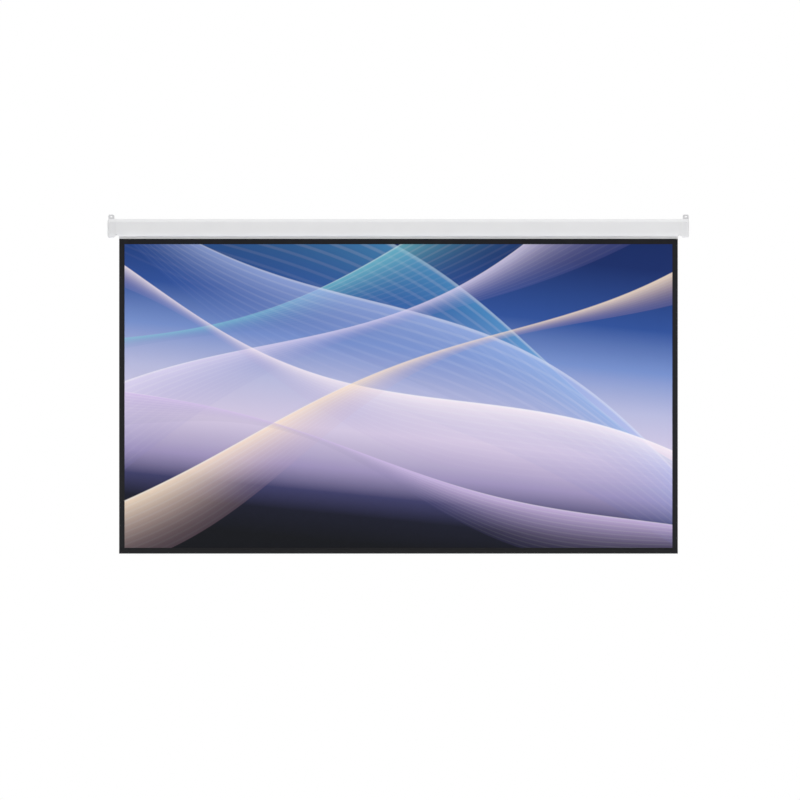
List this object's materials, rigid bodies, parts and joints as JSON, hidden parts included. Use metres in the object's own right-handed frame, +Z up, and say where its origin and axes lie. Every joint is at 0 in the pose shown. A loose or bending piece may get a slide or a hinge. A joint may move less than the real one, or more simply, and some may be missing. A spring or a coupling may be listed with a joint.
{
  "type": "pull down projector screen",
  "caption": "Wall-hung spring-roller projection screen: long white case, black-bordered white cloth and a weighted hem that is pulled down and locked by a pawl.",
  "frame": {"origin": "on the wall plane, midway between the hanging slots in the ears of the two end caps", "axes": "+X along the case to the viewer's right, +Y into the wall, +Z up; the screen faces -Y"},
  "size_m": [2.3466, 0.072, 1.3688],
  "materials": {
    "case_paint": "white powder coat on roll-formed steel",
    "cap_plastic": "white moulded ABS, satin",
    "bracket_steel": "zinc-plated pressed steel",
    "spindle_steel": "zinc-plated drawn steel",
    "pawl_steel": "zinc-plated stamped steel",
    "spring_steel": "oiled spring wire",
    "screw_steel": "zinc-plated screws",
    "tube_steel": "galvanised steel tube",
    "bush_nylon": "natural nylon",
    "plug_plastic": "black moulded plastic",
    "screen_cloth": "matte white coated fibreglass cloth with a black masking border",
    "border_cloth": "black masking coat on the same cloth",
    "hem_aluminium": "mill-finish drawn tube"
  },
  "bodies": {
    "case": {"case_shell": "case_paint", "left_end_cap": "cap_plastic", "right_end_cap": "cap_plastic", "left_cap_screw_upper": "screw_steel", "left_cap_screw_lower": "screw_steel", "right_cap_screw_upper": "screw_steel", "right_cap_screw_lower": "screw_steel", "screen_sheet": "screen_cloth", "left_bracket": "bracket_steel", "right_bracket": "bracket_steel", "idle_bush": "bush_nylon", "spindle": "spindle_steel", "ratchet_wheel": "spindle_steel", "spring_collar": "spindle_steel", "torsion_spring": "spring_steel"},
    "roller": {"roller_tube": "tube_steel", "wound_leader": "screen_cloth", "spring_end_plug": "plug_plastic", "idle_end_plug": "plug_plastic", "spring_anchor_plug": "plug_plastic", "idle_pin": "spindle_steel", "pawl_pin_a": "pawl_steel", "pawl_pin_b": "pawl_steel"},
    "pawl_a": {"pawl_a": "pawl_steel"},
    "pawl_b": {"pawl_b": "pawl_steel"},
    "drop": {"hem_pocket": "border_cloth", "hem_tube": "hem_aluminium", "hem_plug_left": "plug_plastic", "hem_plug_right": "plug_plastic", "pull_grip": "plug_plastic", "grip_screw_left": "screw_steel", "grip_screw_right": "screw_steel"}
  },
  "joints": [
    {"name": "screen_drop", "type": "slide", "parent": "case", "child": "drop", "axis": [0, 0, 1], "range_m": [0, 1.2648], "deforming": ["screen_sheet"]},
    {"name": "roller_spin", "type": "hinge", "parent": "case", "child": "roller", "pos_m": [0, -0.03695, -0.0439], "axis": [1, 0, 0], "range_deg": [-0.5, 3420.5]},
    {"name": "pawl_a_swing", "type": "hinge", "parent": "roller", "child": "pawl_a", "pos_m": [0, -0.03025, -0.0323], "axis": [1, 0, 0], "range_deg": [0, 18]},
    {"name": "pawl_b_swing", "type": "hinge", "parent": "roller", "child": "pawl_b", "pos_m": [0, -0.04365, -0.0555], "axis": [1, 0, 0], "range_deg": [0, 18]}
  ],
  "couplings": [
    {"joint": "roller_spin", "follows": "screen_drop", "rad_per_m": 47.193}
  ]
}
